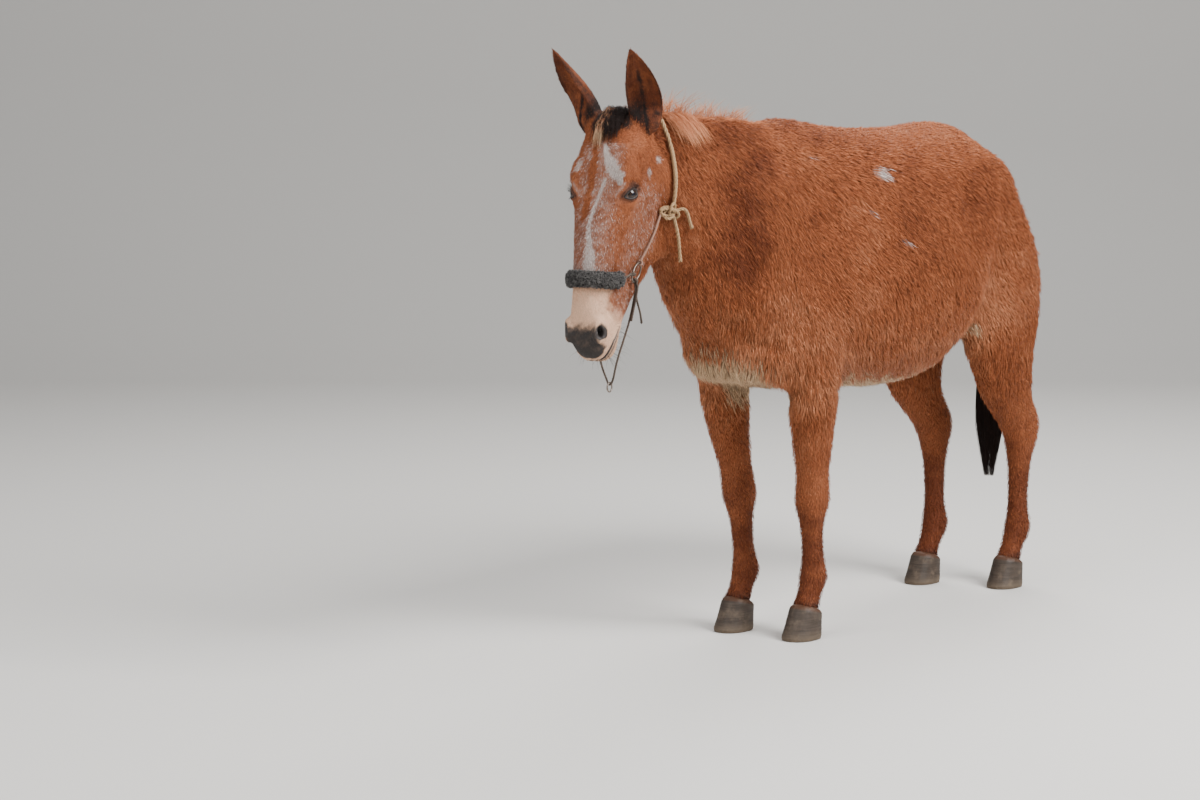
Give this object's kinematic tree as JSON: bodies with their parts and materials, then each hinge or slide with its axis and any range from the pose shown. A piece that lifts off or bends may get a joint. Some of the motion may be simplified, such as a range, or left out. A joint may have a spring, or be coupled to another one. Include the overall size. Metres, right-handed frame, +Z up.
{
  "type": "mule",
  "caption": "Life-size standing sorrel mule in a shaggy winter coat, wearing a rope and fleece halter, as a still museum model.",
  "frame": {"origin": "middle of the outline on the floor, under the belly", "axes": "+Z up, the mule faces -X and its left side is towards -Y"},
  "size_m": [2.1778, 0.6548, 1.7437],
  "materials": {
    "coat": "shaggy sorrel winter coat, with a roan blaze and a pale muzzle",
    "dark_hair": "coarse dark brown tail hair",
    "hoof_horn": "dull dark hoof horn",
    "eye_gloss": "wet, dark brown eye",
    "dark_fleece": "curly charcoal fleece",
    "pale_rope": "weathered, twisted pale rope",
    "dark_cord": "old, dark twisted cord",
    "steel_ring": "worn steel"
  },
  "bodies": {
    "root": {"head": "coat", "neck": "coat", "torso": "coat", "foreleg_left": "coat", "foreleg_right": "coat", "hindleg_left": "coat", "hindleg_right": "coat", "ear_left": "coat", "ear_right": "coat", "tail": "dark_hair", "hoof_fore_left": "hoof_horn", "hoof_fore_right": "hoof_horn", "hoof_hind_left": "hoof_horn", "hoof_hind_right": "hoof_horn", "eye_left": "eye_gloss", "eye_right": "eye_gloss", "noseband": "dark_fleece", "crown_rope": "pale_rope", "cheek_rope_left": "pale_rope", "cheek_rope_right": "pale_rope", "chin_cord": "dark_cord", "ring_left": "steel_ring", "ring_right": "steel_ring", "ring_chin": "steel_ring"}
  },
  "joints": []
}
